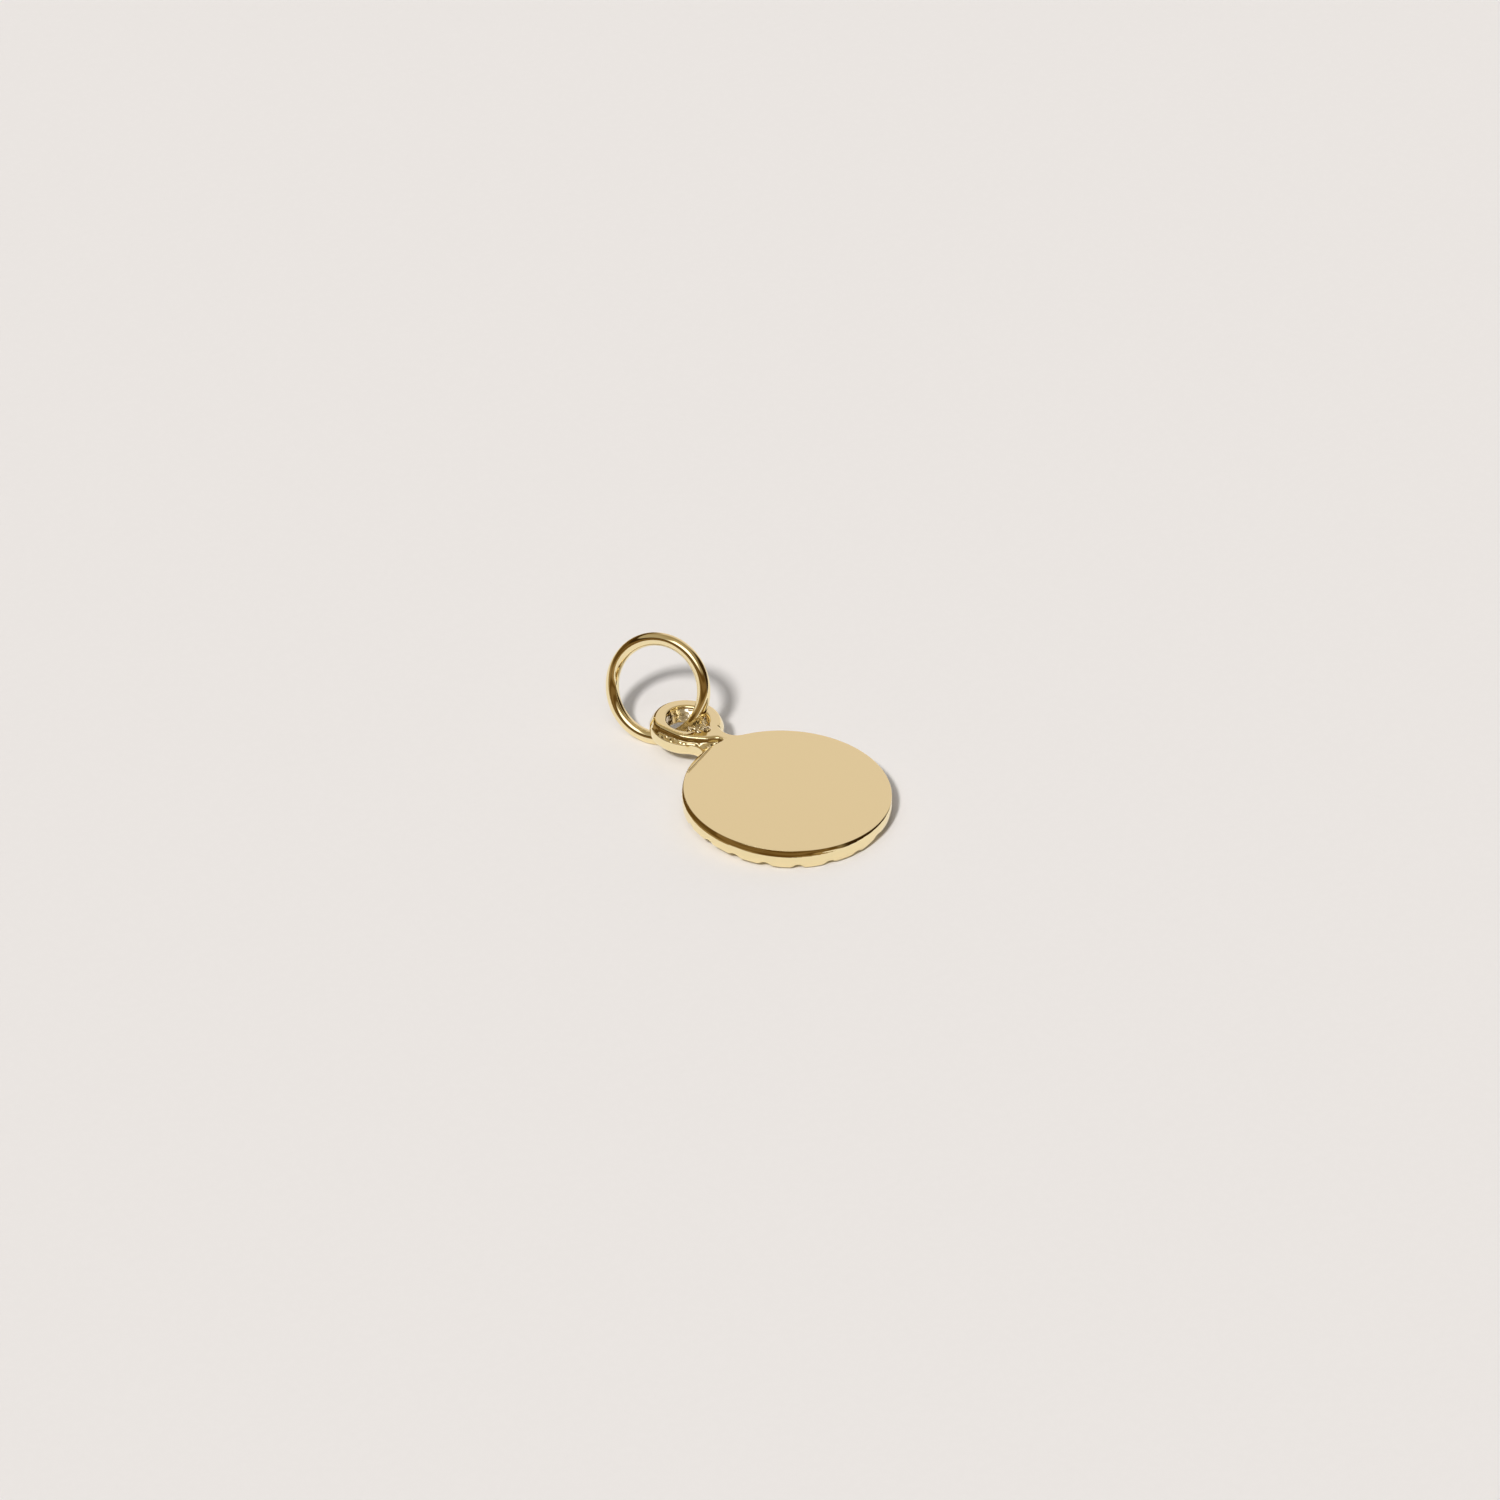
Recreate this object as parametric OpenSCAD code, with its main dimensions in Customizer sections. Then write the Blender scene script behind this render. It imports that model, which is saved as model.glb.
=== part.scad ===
/* [Disc] */
// Diameter of the round tag
disc_d = 10.05; // [9:0.05:12]
// Thickness of the tag, loop included
tag_t = 1.02; // [0.94:0.02:1.2]
// How far the bevel of the face comes in from the rim
bevel_in = 0.08; // [0.06:0.01:0.2]
// How far the bevel of the face goes down the wall
bevel_down = 0.36; // [0.2:0.02:0.4]
// Radius of the rounded edge round the underside
under_r = 0.1; // [0.06:0.02:0.2]
// How much the wall of the disc comes in towards the underside
draft = 0.1; // [0.04:0.02:0.14]

/* [Notches in the underside rim] */
// Number of notches
notch_count = 17; // [9:2:17]
// Angle from one notch to the next
notch_pitch = 18; // [17:0.5:19]
// Angle of the middle notch past the foot of the tag
notch_turn = 1.6; // [-6:0.1:6]
// Width of a notch at the rim
notch_w = 0.52; // [0.3:0.02:0.6]
// Depth of a notch at the rim
notch_depth = 0.21; // [0.14:0.01:0.24]
// Length over which a notch fades out towards the centre
notch_len = 1.3; // [0.8:0.1:2]

/* [Loop and neck] */
// Outer diameter of the hanging loop
loop_d = 3.6; // [3.4:0.1:4]
// Diameter of the hole in the loop
hole_d = 2; // [1.9:0.05:2.1]
// Distance from the centre of the disc to the centre of the loop
loop_y = 7.45; // [7.4:0.05:7.6]
// How far the rounded outer edge on top of the loop comes in
loop_top_in = 0.3; // [0.2:0.02:0.4]
// How far the rounded outer edge on top of the loop goes down
loop_top_down = 0.45; // [0.3:0.05:0.5]
// Radius of the rounded outer edge under the loop
loop_under_r = 0.3; // [0.2:0.05:0.4]
// Radius of the rounded edges of the hole
hole_r = 0.16; // [0.1:0.02:0.2]
// Radius of the concave fillets at the neck
neck_fillet = 0.68; // [0.6:0.02:0.8]

/* [File marks beside the neck] */
// Depth of the step filed along one side of the loop and across the neck
step_depth = 0.3; // [0.2:0.02:0.4]
// Depth of the flat filed on the edge of the disc
flat_depth = 0.22; // [0.1:0.01:0.25]
// Angle of that flat round from the loop
flat_turn = 22.5; // [16:0.5:26]
// Slope of that flat down from the face
flat_slope = 25; // [20:5:60]

/* [Jump ring] */
// Diameter of the wire
wire_d = 0.65; // [0.6:0.01:0.68]
// Inner diameter of the jump ring
ring_id = 4.2; // [4.1:0.05:4.3]

/* [Lying pose] */
// Slope of the tag, which lies on its rim and on the jump ring
tag_slope = 3.9; // [3.5:0.1:4.3]
// How far the jump ring leans back from upright
ring_lean = 20.8; // [20:0.2:22]
// Direction that the jump ring faces
ring_turn = -155.8; // [-157:0.2:-155]
// Sideways place of the jump ring from the middle of the tag
ring_x = -0.08; // [-0.1:0.01:-0.04]
// Place of the jump ring along the tag from the centre of the disc
ring_y = 9.54; // [9.5:0.01:9.56]

/* [Hidden] */
$fn = 96;
arc_steps = 6;
clear = 0.2;

disc_r = disc_d / 2;
loop_r = loop_d / 2;
wire_r = wire_d / 2;
ring_mid_r = (ring_id + wire_d) / 2;

// The tag touches the ground at the foot of its rounded underside edge
foot_r = disc_r - draft;
face_z = under_r + (tag_t - under_r) * cos(tag_slope) + (foot_r - under_r) * sin(tag_slope);

// The whole is centred over the origin along its length
foot_y = bevel_down * sin(tag_slope) - disc_r * cos(tag_slope);
ring_normal_y = sin(ring_turn) * cos(ring_lean);
ring_end_y = ring_y + ring_mid_r * sqrt(1 - pow(ring_normal_y, 2)) + wire_r;
centre_y = (foot_y + ring_end_y) / 2;

// Points of an arc, centre c, radius r across and h up, from angle a to angle b
function arc(c, r, h, a, b) =
    [for (i = [0:arc_steps]) let (t = a + (b - a) * i / arc_steps) c + [r * cos(t), h * sin(t)]];

// A bevel that bulges slightly between its two ends
bevel_top = [disc_r - bevel_in, 0];
bevel_mid = [disc_r - bevel_in * 0.3, -bevel_down * 0.5];
bevel_low = [disc_r, -bevel_down];

module disc_body() {
    profile = concat(
        [[0, -tag_t]],
        arc([foot_r - under_r, under_r - tag_t], under_r, under_r, -90, 0),
        [bevel_low, bevel_mid, bevel_top, [0, 0]]
    );
    rotate_extrude() polygon(profile);
}

module loop_body() {
    hole_edge = hole_d / 2 + hole_r;
    profile = concat(
        arc([loop_r - loop_under_r, loop_under_r - tag_t], loop_under_r, loop_under_r, -90, 0),
        arc([loop_r - loop_top_in, -loop_top_down], loop_top_in, loop_top_down, 0, 90),
        arc([hole_edge, -hole_r], hole_r, hole_r, 90, 180),
        arc([hole_edge, hole_r - tag_t], hole_r, hole_r, 180, 270)
    );
    translate([0, loop_y, 0]) rotate_extrude() polygon(profile);
}

// Each fillet circle touches the disc and the loop from outside
fillet_a = disc_r + neck_fillet;
fillet_b = loop_r + neck_fillet;
fillet_y = (pow(fillet_a, 2) - pow(fillet_b, 2) + pow(loop_y, 2)) / (2 * loop_y);
fillet_x = sqrt(pow(fillet_a, 2) - pow(fillet_y, 2));
neck_in = 0.9;

module neck_body() {
    on_disc = [fillet_x, fillet_y] * disc_r / fillet_a;
    on_loop = [0, loop_y] + ([fillet_x, fillet_y] - [0, loop_y]) * loop_r / fillet_b;
    above_ground = 0.06;
    from_hole = 0.1;
    translate([0, 0, above_ground - tag_t]) linear_extrude(tag_t - above_ground) difference() {
        polygon([
            [on_disc.x, on_disc.y], [on_loop.x, on_loop.y],
            [0, loop_y - hole_d / 2 - hole_r - from_hole],
            [-on_loop.x, on_loop.y], [-on_disc.x, on_disc.y],
            [0, disc_r - neck_in]
        ]);
        for (side = [-1, 1])
            translate([side * fillet_x, fillet_y]) circle(neck_fillet);
    }
}

// The side of the loop and the neck is filed down beside this line, as far as the disc
step_line = [
    [-1.25, 8.79], [-1.4, 8.45], [-1.41, 7.95], [-1.33, 7.38], [-1.14, 6.53],
    [-0.78, 6.04], [-0.3, 5.57], [0.08, 5.41], [0.37, 5.15]
];

module neck_step() {
    side_x = -2.4;
    in_disc_y = 4;
    difference() {
        translate([0, 0, -step_depth]) linear_extrude(step_depth + clear)
            polygon(concat(step_line, [[step_line[8].x, in_disc_y], [side_x, in_disc_y], [side_x, step_line[0].y]]));
        translate([0, 0, -tag_t]) cylinder(r = disc_r, h = tag_t + 2 * clear);
    }
}

// A small flat on the edge of the disc, beside the neck
module edge_flat() {
    file_w = 2.8;
    file_in = 0.3;
    file_out = 0.4;
    file_t = 0.4;
    rotate([0, 0, flat_turn]) translate([0, disc_r - flat_depth, 0]) rotate([-flat_slope, 0, 0])
        translate([-file_w / 2, -file_in, 0]) cube([file_w, file_in + file_out, file_t]);
}

// A round-bottomed groove that fades out towards the centre
module notch() {
    groove_r = (pow(notch_w, 2) / 4 + pow(notch_depth, 2)) / (2 * notch_depth);
    fade = atan(notch_depth / notch_len);
    translate([0, -foot_r, -tag_t - groove_r + notch_depth])
        rotate([-90 - fade, 0, 0])
            translate([0, 0, -clear]) cylinder(r = groove_r, h = notch_len + clear);
}

module notches() {
    half = (notch_count - 1) / 2;
    for (i = [-half:half]) rotate([0, 0, notch_turn + i * notch_pitch]) notch();
}

module tag() {
    color("gold") translate([0, -centre_y, face_z]) rotate([tag_slope, 0, 0])
        difference() {
            union() {
                disc_body();
                loop_body();
                neck_body();
            }
            neck_step();
            edge_flat();
            notches();
        }
}

module jump_ring() {
    color("goldenrod")
        translate([ring_x, ring_y - centre_y, wire_r + ring_mid_r * cos(ring_lean)])
            rotate([0, 90 - ring_lean, ring_turn])
                rotate_extrude() translate([ring_mid_r, 0]) circle(d = wire_d);
}

tag();
jump_ring();
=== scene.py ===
import math

import bmesh
import bpy
import numpy as np
from mathutils import Euler, Matrix, Vector, noise
from mathutils.geometry import delaunay_2d_cdt


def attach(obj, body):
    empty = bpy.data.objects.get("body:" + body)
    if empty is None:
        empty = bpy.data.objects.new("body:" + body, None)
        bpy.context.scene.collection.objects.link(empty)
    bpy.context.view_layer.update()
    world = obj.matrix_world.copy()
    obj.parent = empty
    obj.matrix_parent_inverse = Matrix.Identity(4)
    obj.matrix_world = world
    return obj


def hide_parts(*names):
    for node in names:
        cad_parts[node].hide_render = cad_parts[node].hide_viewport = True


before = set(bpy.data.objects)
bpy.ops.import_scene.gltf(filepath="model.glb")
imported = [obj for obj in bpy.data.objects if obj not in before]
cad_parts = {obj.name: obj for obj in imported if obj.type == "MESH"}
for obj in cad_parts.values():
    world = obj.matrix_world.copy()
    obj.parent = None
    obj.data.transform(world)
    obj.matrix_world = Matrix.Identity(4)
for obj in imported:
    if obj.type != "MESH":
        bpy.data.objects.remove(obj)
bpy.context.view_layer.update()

# Shapes are worked out in millimetres, and the frame is in metres
MM = 0.001

# Driving dimensions in millimetres and degrees, the same as the construction's
DISC_R = 5.025
TAG_T = 1.02
BEVEL_DOWN = 0.36
UNDER_R = 0.1
DRAFT = 0.1
LOOP_R = 1.8
LOOP_Y = 7.45
LOOP_UNDER_R = 0.3
HOLE_R = 1.0
HOLE_EDGE_R = 0.16
NECK_FILLET = 0.68
FLAT_DEPTH = 0.22
FLAT_TURN = 22.5
FLAT_HALF = 1.4
NOTCH_COUNT = 17
NOTCH_PITCH = 18
NOTCH_TURN = 1.6
NOTCH_W = 0.52
NOTCH_DEPTH = 0.21
NOTCH_LEN = 1.3
WIRE_R = 0.325
RING_R = 2.425
TAG_SLOPE = 3.9
RING_LEAN = 20.8
RING_TURN = -155.8
RING_X = -0.08
RING_Y = 9.54

# Where the tag and the ring lie in the frame, worked out as in the construction
tilt = math.radians(TAG_SLOPE)
face_z = UNDER_R + (TAG_T - UNDER_R) * math.cos(tilt) + (DISC_R - DRAFT - UNDER_R) * math.sin(tilt)
foot_y = BEVEL_DOWN * math.sin(tilt) - DISC_R * math.cos(tilt)
lean, turn = math.radians(RING_LEAN), math.radians(RING_TURN)
ring_normal_y = math.sin(turn) * math.cos(lean)
ring_end_y = RING_Y + RING_R * math.sqrt(1 - ring_normal_y ** 2) + WIRE_R
centre_y = (foot_y + ring_end_y) / 2
ring_centre = Vector((RING_X, RING_Y - centre_y, WIRE_R + RING_R * math.cos(lean)))
tag_place = Matrix.Translation((0, -centre_y, face_z)) @ Matrix.Rotation(tilt, 4, "X")
ring_place = Matrix.Translation(ring_centre) @ Euler((0, math.pi / 2 - lean, turn)).to_matrix().to_4x4()


# Helpers for meshes and for smooth shapes

def make_mesh(name, points, faces, place, normals=None, cast=None):
    """A smooth-shaded object from points in millimetres, with normals and a cast share if given."""
    mesh = bpy.data.meshes.new(name)
    mesh.from_pydata((np.asarray(points) * MM).tolist(), [], [list(map(int, f)) for f in faces])
    scaled = place.copy()
    scaled.translation = place.translation * MM
    mesh.transform(scaled)
    mesh.validate()
    mesh.polygons.foreach_set("use_smooth", [True] * len(mesh.polygons))
    if cast is not None:
        layer = mesh.attributes.new("cast", "FLOAT", "POINT")
        layer.data.foreach_set("value", cast)
    if normals is not None:
        turned = normals @ np.array(place.to_3x3()).T
        mesh.normals_split_custom_set_from_vertices(turned.tolist())
    piece = bpy.data.objects.new(name, mesh)
    bpy.context.scene.collection.objects.link(piece)
    return piece


def ring_strip(first, second, count):
    """Quads between two closed rings of points, given by their first indices."""
    i = np.arange(count)
    j = (i + 1) % count
    return np.stack([first + i, second + i, second + j, first + j], 1)


def smooth_step(x):
    """Rises smoothly from 0 at 0 to 1 at 1."""
    x = np.clip(x, 0, 1)
    return x * x * (3 - 2 * x)


def ramp(x, start, width):
    """Rises smoothly from 0 at start to 1 one width further on."""
    return smooth_step((x - start) / width)


def smooth_min(a, b, k):
    """The smaller of a and b, with the corner between them rounded over about k."""
    h = np.clip(0.5 + 0.5 * (b - a) / k, 0, 1)
    return b + (a - b) * h - k * h * (1 - h)


# How far apart in the noise two seeds are
SEED_SHIFT = (7.3, 3.1, 5.7)


def noise_at(points, size, seed):
    """Smooth noise from -1 to 1 whose bumps are about size across."""
    shift = Vector([seed * s for s in SEED_SHIFT])
    return np.array([noise.noise(Vector(p) / size + shift) for p in points])


def along_line(points, start, end):
    """How far along a straight line each point lies, and how far beside it, above 0 to its right."""
    length = math.dist(start, end)
    along = np.subtract(end, start) / length
    local = points[:, :2] - start
    run = np.clip(local @ along, 0, length)
    apart = np.linalg.norm(local - run[:, None] * along, axis=1)
    return run, np.copysign(apart, local[:, 0] * along[1] - local[:, 1] * along[0])


def cut_corners(line, rounds):
    """Rounds the corners of a line, its two ends kept."""
    for _ in range(rounds):
        near_start = line[:-1] * 0.75 + line[1:] * 0.25
        near_end = line[:-1] * 0.25 + line[1:] * 0.75
        between = np.stack([near_start, near_end], 1).reshape(-1, 2)
        line = np.concatenate([line[:1], between, line[-1:]])
    return line


# The tag's outline: the disc, two concave fillets and the loop, seen from above

FILLET_A = DISC_R + NECK_FILLET
FILLET_B = LOOP_R + NECK_FILLET
FILLET_Y = (FILLET_A ** 2 - FILLET_B ** 2 + LOOP_Y ** 2) / (2 * LOOP_Y)
FILLET_X = math.sqrt(FILLET_A ** 2 - FILLET_Y ** 2)
DISC_END = math.atan2(FILLET_Y, FILLET_X)
LOOP_END = math.atan2(FILLET_Y - LOOP_Y, FILLET_X)

# Lengths of the outline's steps
DISC_STEP = 0.04
FILLET_STEP = 0.03
LOOP_STEP = 0.032


def outline_arc(centre, radius, start, end, step, loop_from, loop_to):
    """Points of one arc, their outward normals, and how far each is from disc to loop, 0 to 1."""
    count = round(abs(end - start) * radius / step)
    t = np.linspace(0, 1, count, endpoint=False)
    angle = start + (end - start) * t
    ray = np.stack([np.cos(angle), np.sin(angle)], 1)
    outward = ray if end > start else -ray
    return np.array(centre) + radius * ray, outward, loop_from + (loop_to - loop_from) * smooth_step(t)


def tag_outline():
    """The whole outline, counterclockwise from the fillet on the left."""
    right, left = (FILLET_X, FILLET_Y), (-FILLET_X, FILLET_Y)
    from_disc, to_loop = math.pi + DISC_END, math.pi + LOOP_END
    arcs = [
        outline_arc((0, 0), DISC_R, math.pi - DISC_END, 2 * math.pi + DISC_END, DISC_STEP, 0, 0),
        outline_arc(right, NECK_FILLET, from_disc, to_loop, FILLET_STEP, 0, 1),
        outline_arc((0, LOOP_Y), LOOP_R, LOOP_END, math.pi - LOOP_END, LOOP_STEP, 1, 1),
        outline_arc(left, NECK_FILLET, -LOOP_END, -DISC_END, FILLET_STEP, 1, 0),
    ]
    return [np.concatenate(part) for part in zip(*arcs)]


def outline_distance(p):
    """Distance of each point from the tag's outline, negative inside."""
    to_fillet = np.stack([np.abs(p[:, 0]) - FILLET_X, p[:, 1] - FILLET_Y], 1)
    angle = np.arctan2(to_fillet[:, 1], to_fillet[:, 0]) % (2 * math.pi)
    in_neck = (angle > math.pi + LOOP_END) & (angle < math.pi + DISC_END)
    disc = np.hypot(p[:, 0], p[:, 1]) - DISC_R
    loop = np.hypot(p[:, 0], p[:, 1] - LOOP_Y) - LOOP_R
    return np.where(in_neck, NECK_FILLET - np.linalg.norm(to_fillet, axis=1), np.minimum(disc, loop))


# The rims of the disc, the loop and the hole

def quarter(radius):
    """Length of a quarter of a circle."""
    return radius * math.pi / 2


# Each rim from the face down. Columns: length of a stretch, and the angle of the surface's normal
# above level at its end. The upright stretch takes what height is left
WALL_TILT = -7.5
LOOP_TILT = -10
DISC_RIM = [(0.03, 25), (0.02, 9), (0.30, 7), (0.03, 0), (0, WALL_TILT), (quarter(UNDER_R), -90)]
LOOP_RIM = [(0.16, 34), (0.12, 28), (0.24, 17), (0.05, 0), (0, LOOP_TILT), (quarter(LOOP_UNDER_R), -90)]
HOLE_RIM = [(quarter(HOLE_EDGE_R), 0), (0, 0), (quarter(HOLE_EDGE_R), -90)]

# The number of the upright stretch, and how many steps each stretch has
RIM_WALL = 4
RIM_COUNTS = [6, 3, 15, 3, 6, 8]
HOLE_WALL = 1
HOLE_COUNTS = [6, 18, 6]
HOLE_SIDES = 200


def rim_profile(turns, upright, counts):
    """Inset and height down a rim, from the face to the underside."""
    def walk(wall):
        inset, height, angle, path = 0.0, 0.0, 90.0, [(0.0, 0.0)]
        for i, ((length, end), count) in enumerate(zip(turns, counts)):
            length = wall if i == upright else length
            for k in range(count):
                mid = math.radians(angle + (end - angle) * (k + 0.5) / count)
                inset += math.sin(mid) * length / count
                height -= math.cos(mid) * length / count
                path.append((inset, height))
            angle = end
        return np.array(path)

    wall = (TAG_T + walk(0.0)[-1, 1]) / math.cos(math.radians(turns[upright][1]))
    path = walk(wall)
    return np.stack([path[:, 0].max() - path[:, 0], path[:, 1]], 1)


# The step filed beside the loop

# The loop's near side is stepped: its top rounds over along this line, drops steeply, and then slopes
# on to the outline and to the disc's edge. Towards the line's end, at the disc, the step fades out
STEP_LINE = cut_corners(np.array([
    (-1.18, 8.82), (-1.43, 8.45), (-1.50, 7.95), (-1.40, 7.38), (-1.14, 6.50),
    (-0.74, 6.04), (-0.26, 5.61), (0.11, 5.46), (0.37, 5.15),
]), rounds=2)
# The drop to the step's foot, and how far it falls from there to the outline
STEP_DROP = 0.215
STEP_FALL = 0.13
# How far inside the line the top begins to round over, and the radius of that edge
STEP_LEAD = 0.1
STEP_EDGE_R = 0.19
# The end of the line over which the step fades out
STEP_FADE = 0.25
# How much the corners above and at the step's foot are rounded
STEP_ROUND = 0.015
STEP_FOOT_ROUND = 0.04
# The least width that the sloping part is taken to have
STEP_LEAST_WIDTH = 0.01
# The lumps on the sloping part: their size and height
LUMP_SIZE = 0.24
LUMP_HIGH = 0.115

# Slope of the steep part. Columns: how much of the line is still to run, and the angle
STEP_WALL = np.array([(1.2, 64), (2.0, 63), (2.6, 62), (3.3, 60), (3.8, 57), (4.3, 50)])

# Where the lumps and the step fade in: each place and the width of the fade
LUMPS_BESIDE_LINE = (0.12, 0.1)
LUMPS_BESIDE_RIM = (0.02, 0.08)
STEP_BESIDE_DISC = (-0.01, 0.03)
STEP_ALONG_TAG = (4.6, 0.1)


def step_place(points):
    """How far outside the step's line each point lies, and how much of the line is still to run."""
    off = np.full(len(points), np.inf)
    left = np.zeros(len(points))
    runs = np.linalg.norm(np.diff(STEP_LINE, axis=0), axis=1)
    for i, (start, end) in enumerate(zip(STEP_LINE[:-1], STEP_LINE[1:])):
        run, beside = along_line(points, start, end)
        near = np.abs(beside) < np.abs(off)
        off = np.where(near, beside, off)
        left = np.where(near, runs[i:].sum() - run, left)
    return off, left


def edge_drop(run, left):
    """How far the step's rounded edge has dropped after a run outwards, and on down its steep wall."""
    steep = np.radians(np.interp(left, STEP_WALL[:, 0], STEP_WALL[:, 1]))
    turned = STEP_EDGE_R * np.sin(steep)
    on_arc = np.clip(run, 0, turned)
    drop = STEP_EDGE_R - np.sqrt(STEP_EDGE_R ** 2 - on_arc ** 2)
    return drop + np.clip(run - turned, 0, None) * np.tan(steep) + np.clip(run, None, 0)


def cut_step(points):
    """Presses what is outside the line down onto the step, which is left lumpy."""
    off, left = step_place(points)
    beside_disc = np.hypot(points[:, 0], points[:, 1]) - DISC_R
    to_edge = np.maximum(np.minimum(-outline_distance(points[:, :2]), beside_disc), STEP_LEAST_WIDTH)
    outside = np.clip(off, 0, None)
    share = outside / (outside + to_edge)
    fade = np.clip(left / STEP_FADE, 0, 1)
    steep = edge_drop(off + STEP_LEAD * fade, left)
    lumps = LUMP_HIGH * noise_at(points * (1, 1, 0), LUMP_SIZE, seed=5) * ramp(off, *LUMPS_BESIDE_LINE)
    lumps *= ramp(to_edge, *LUMPS_BESIDE_RIM)
    depth = smooth_min(steep, STEP_DROP, STEP_FOOT_ROUND) + STEP_FALL * share - lumps
    cut = np.where(steep > 0, -depth * fade, -steep)
    reach = ramp(beside_disc, *STEP_BESIDE_DISC) * ramp(points[:, 1], *STEP_ALONG_TAG)
    out = points.copy()
    out[:, 2] += reach * (smooth_min(points[:, 2], cut, STEP_ROUND) - points[:, 2])
    return out


# Marks on the face and on the disc's edge

# Each dent: its centre, radius and depth
DENTS = [((0.12, 6.17), 0.2, 0.09), ((0.42, 6.48), 0.14, 0.05)]
# Each scratch: its two ends, half width and depth
NECK_SCRATCH = ((0.80, 6.08), (0.89, 5.88), 0.06, 0.05)
FILE_SCRATCH = ((-0.5, 4.98), (-2.9, 3.97), 0.045, 0.05)
SCRATCHES = [NECK_SCRATCH, FILE_SCRATCH]
# The height from which the marks fade in, and the width of the fade
UPPER_HALF = (-0.5, 0.2)


def mark_top(points):
    """The dents beside the hole, the scratch on the neck and the file's line on the disc."""
    out = points.copy()
    top = ramp(points[:, 2], *UPPER_HALF)
    for place, radius, depth in DENTS:
        away = np.hypot(points[:, 0] - place[0], points[:, 1] - place[1]) / radius
        out[:, 2] -= top * depth * smooth_step(1 - away)
    for start, end, half, depth in SCRATCHES:
        _, beside = along_line(points, start, end)
        out[:, 2] -= top * depth * smooth_step(1 - np.abs(beside) / half)
    return out


# The flat's slope, which is gentler than in the construction, and the fades of its ends and outwards
FLAT_SLOPE = 11
FLAT_ROUND = 0.02
FLAT_END_FADE = 0.15
FLAT_REACH = 0.4
FLAT_REACH_FADE = 0.1
FLAT_OUT = np.array([-math.sin(math.radians(FLAT_TURN)), math.cos(math.radians(FLAT_TURN))])
FLAT_ALONG = np.array([FLAT_OUT[1], -FLAT_OUT[0]])


def file_flat(points):
    """Takes a small sloping flat off the disc's edge beside the neck."""
    radial = np.append(FLAT_OUT, 0)
    tangent = np.append(FLAT_ALONG, 0)
    down = math.radians(FLAT_SLOPE)
    normal = radial * math.sin(down) + np.array([0, 0, math.cos(down)])
    local = points - radial * (DISC_R - FLAT_DEPTH)
    above = local @ normal
    reach = ramp(FLAT_HALF - np.abs(local @ tangent), 0, FLAT_END_FADE)
    reach *= ramp(FLAT_REACH - local @ radial, 0, FLAT_REACH_FADE)
    return points + (reach * (smooth_min(above, 0, FLAT_ROUND) - above))[:, None] * normal


# How far the rim's lower edge was worn up, by azimuth
WORN = np.array([(140, 0), (160, 0.05), (172, 0.14), (190, 0.16), (200, 0.10), (215, 0.07), (228, 0.03),
                 (246, 0.03), (258, 0.10), (267, 0.11), (273, 0.10), (280, 0.19), (288, 0.34),
                 (298, 0.30), (306, 0.14), (316, 0)])
# The radius from which the wear fades in, and the width of the fade
WORN_FROM = (4.45, 0.45)
# How far past its radius a point still belongs to the disc
DISC_MARGIN = 0.01


def wear_edge(points):
    """Raises the lower edge of the disc's rim unevenly, less and less up the wall and inwards."""
    azimuth = np.degrees(np.arctan2(points[:, 1], points[:, 0])) % 360
    radius = np.hypot(points[:, 0], points[:, 1])
    worn = np.interp(azimuth, WORN[:, 0], WORN[:, 1])
    share = np.clip((-points[:, 2] - BEVEL_DOWN) / (TAG_T - BEVEL_DOWN), 0, 1)
    share *= ramp(radius, *WORN_FROM) * (radius < DISC_R + DISC_MARGIN)
    out = points.copy()
    out[:, 2] += worn * share
    return out


NOTCH_ROUND = 0.06


def cut_notches(points):
    """Cuts round-bottomed grooves into the underside that fade out towards the centre."""
    groove_r = (NOTCH_W ** 2 / 4 + NOTCH_DEPTH ** 2) / (2 * NOTCH_DEPTH)
    radius = np.hypot(points[:, 0], points[:, 1])
    angle = np.degrees(np.arctan2(points[:, 0], -points[:, 1])) - NOTCH_TURN
    index = np.round(angle / NOTCH_PITCH)
    across = np.radians(angle - index * NOTCH_PITCH) * radius
    depth = NOTCH_DEPTH * (1 - (DISC_R - DRAFT - radius) / NOTCH_LEN)
    lift = depth - across ** 2 / (2 * groove_r)
    near = (np.abs(index) <= (NOTCH_COUNT - 1) / 2) & (radius < DISC_R + DISC_MARGIN)
    near &= (lift > -NOTCH_ROUND) & (points[:, 2] < -TAG_T / 2)
    raised = -smooth_min(-points[:, 2], TAG_T - lift, NOTCH_ROUND)
    out = points.copy()
    out[:, 2] = np.where(near, raised, points[:, 2])
    return out


# The skin that the casting left rough

# A rough spot beside the hole: its centre, its radius, and how it fades inwards and upwards
SPOT = (0.2, 6.3)
SPOT_R = 0.35
SPOT_FADE = 0.25
SPOT_HEIGHT = (-0.4, 0.2)
# How far from the hole's wall its rough skin has faded out
HOLE_SKIN = 0.16
# How rough the step's slope is, where the hole's wall is 1, and its fades: each place and width
SLOPE_CAST = 0.12
SLOPE_BESIDE_LINE = (0.03, 0.05)
SLOPE_BESIDE_RIM = (0.02, 0.06)
SLOPE_BESIDE_DISC = (0, 0.02)
SLOPE_HEIGHT = (-0.6, 0.1)
SLOPE_END = (0, 0.4)
BELOW_FACE = (0.05, 0.1)
# The bumps of the rough skin. Columns: their height, their size, and the seed
ROUGH_SKIN = [(0.032, 0.17, 1), (0.010, 0.08, 3)]
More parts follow.
